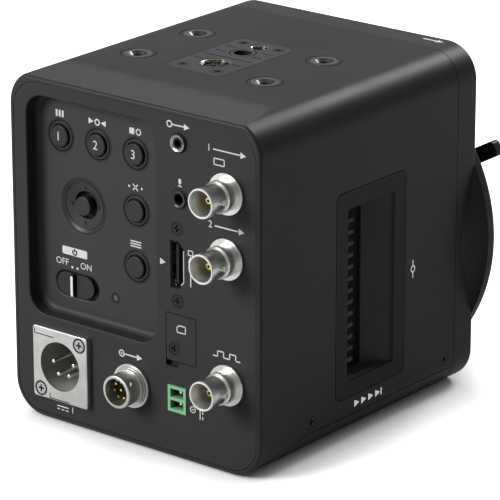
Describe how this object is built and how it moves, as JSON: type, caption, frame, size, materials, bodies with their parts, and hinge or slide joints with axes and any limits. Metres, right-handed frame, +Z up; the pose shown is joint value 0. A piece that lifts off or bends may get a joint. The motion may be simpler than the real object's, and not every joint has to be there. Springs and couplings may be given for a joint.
{
  "type": "network camera",
  "caption": "Box-shaped multi-purpose network camera: black metal casing, interchangeable-lens mount in front, control recess and connector panel at the rear.",
  "frame": {"origin": "mouth of the quarter-inch tripod thread in the base, under the lens axis", "axes": "+Z up, the lens looks along -Y, the connector panel faces +Y"},
  "size_m": [0.1144, 0.1423, 0.116],
  "materials": {
    "casing": "satin",
    "front_casting": "satin",
    "vent_plastic": "satin",
    "accessory_plate": "satin",
    "dark_screws": "satin",
    "bright_threads": "satin",
    "button_plastic": "satin",
    "stick_ring": "satin",
    "stick_knob": "satin",
    "inner_plastic": "matte",
    "lamp_lens": "gloss",
    "circuit_board": "satin",
    "inlet_metal": "satin",
    "dark_insulator": "matte",
    "gold_contact": "polished",
    "bright_contact": "polished",
    "nickel": "polished",
    "white_insulator": "satin",
    "green_block": "satin",
    "steel": "satin",
    "ring_metal": "satin",
    "mount_metal": "brushed",
    "sensor_face": "gloss",
    "filter_glass": "clear",
    "wheel_metal": "satin",
    "sink_metal": "satin",
    "chassis_metal": "satin",
    "fan_plastic": "satin"
  },
  "bodies": {
    "camera": {"main_shell": "casing", "rear_panel": "casing", "front_panel": "front_casting", "bottom_cover": "casing", "intake_vent": "vent_plastic", "top_plate": "accessory_plate", "plate_screws": "dark_screws", "case_screws": "dark_screws", "thread_inserts": "bright_threads", "top_threads": "bright_threads", "base_threads": "bright_threads", "joystick_ring": "stick_ring", "joystick_base": "inner_plastic", "power_switch": "inner_plastic", "status_lamp": "lamp_lens", "key_board": "circuit_board", "key_switches": "inner_plastic", "inlet_shell": "inlet_metal", "inlet_insulator": "dark_insulator", "inlet_pins": "bright_contact", "remote_shell": "nickel", "remote_insulator": "dark_insulator", "remote_pins": "gold_contact", "terminal_block": "green_block", "terminal_pins": "bright_contact", "remote_jack": "bright_threads", "microphone_jack": "dark_insulator", "coax_shells": "nickel", "coax_insulators": "white_insulator", "coax_contacts": "gold_contact", "video_socket": "steel", "video_tongue": "dark_insulator", "card_hinge_pin": "steel", "card_socket": "inner_plastic", "lens_mount": "mount_metal", "mount_screws": "steel", "mount_contacts": "inner_plastic", "image_sensor": "sensor_face", "sensor_board": "circuit_board", "filter_motor": "steel", "chassis": "chassis_metal", "main_board": "circuit_board", "connector_board": "circuit_board", "heat_sink": "sink_metal", "fan_frame": "fan_plastic"},
    "button_1_body": {"button_1": "button_plastic"},
    "button_2_body": {"button_2": "button_plastic"},
    "button_3_body": {"button_3": "button_plastic"},
    "button_cancel_body": {"button_cancel": "button_plastic"},
    "button_menu_body": {"button_menu": "button_plastic"},
    "stick_press_body": {"joystick_plunger": "inner_plastic"},
    "stick_yoke_body": {"joystick_yoke": "inner_plastic"},
    "stick_cap_body": {"joystick_cap": "stick_knob"},
    "power_slider_body": {"power_slider": "button_plastic"},
    "card_door_body": {"card_door": "casing", "card_door_screw": "dark_screws"},
    "lock_ring_body": {"lock_ring": "ring_metal"},
    "filter_wheel_body": {"filter_wheel": "wheel_metal", "filter_glasses": "filter_glass"},
    "fan_rotor_body": {"fan_rotor": "fan_plastic"}
  },
  "joints": [
    {"name": "button_1_press", "type": "slide", "parent": "camera", "child": "button_1_body", "axis": [0, -1, 0], "range_m": [0, 0.0008], "stiffness_N_per_m": 400, "springref_m": -0.0008},
    {"name": "button_2_press", "type": "slide", "parent": "camera", "child": "button_2_body", "axis": [0, -1, 0], "range_m": [0, 0.0008], "stiffness_N_per_m": 400, "springref_m": -0.0008},
    {"name": "button_3_press", "type": "slide", "parent": "camera", "child": "button_3_body", "axis": [0, -1, 0], "range_m": [0, 0.0008], "stiffness_N_per_m": 400, "springref_m": -0.0008},
    {"name": "button_cancel_press", "type": "slide", "parent": "camera", "child": "button_cancel_body", "axis": [0, -1, 0], "range_m": [0, 0.0008], "stiffness_N_per_m": 400, "springref_m": -0.0008},
    {"name": "button_menu_press", "type": "slide", "parent": "camera", "child": "button_menu_body", "axis": [0, -1, 0], "range_m": [0, 0.0008], "stiffness_N_per_m": 400, "springref_m": -0.0008},
    {"name": "joystick_press", "type": "slide", "parent": "camera", "child": "stick_press_body", "axis": [0, -1, 0], "range_m": [0, 0.0003], "stiffness_N_per_m": 900, "springref_m": -0.0004},
    {"name": "joystick_up_down", "type": "hinge", "parent": "stick_press_body", "child": "stick_yoke_body", "pos_m": [0.0252, 0.0446, 0.0734], "axis": [1, 0, 0], "range_deg": [-8, 8], "stiffness_Nm_per_rad": 0.01},
    {"name": "joystick_left_right", "type": "hinge", "parent": "stick_yoke_body", "child": "stick_cap_body", "pos_m": [0.0252, 0.0446, 0.0734], "axis": [0, 0, 1], "range_deg": [-8, 8], "stiffness_Nm_per_rad": 0.01},
    {"name": "power_slide", "type": "slide", "parent": "camera", "child": "power_slider_body", "axis": [-1, 0, 0], "range_m": [0, 0.002]},
    {"name": "card_door_hinge", "type": "hinge", "parent": "camera", "child": "card_door_body", "pos_m": [-0.01935, 0.0517, 0.047], "axis": [1, 0, 0], "range_deg": [0, 100]},
    {"name": "lock_ring_turn", "type": "hinge", "parent": "camera", "child": "lock_ring_body", "pos_m": [0, -0.072, 0.05], "axis": [0, 1, 0], "range_deg": [0, 60]},
    {"name": "filter_wheel_spin", "type": "hinge", "parent": "camera", "child": "filter_wheel_body", "pos_m": [0, -0.04125, 0.07], "axis": [0, 1, 0], "continuous": true},
    {"name": "fan_spin", "type": "hinge", "parent": "camera", "child": "fan_rotor_body", "pos_m": [0.036, 0.018, 0.05], "axis": [1, 0, 0], "continuous": true}
  ]
}
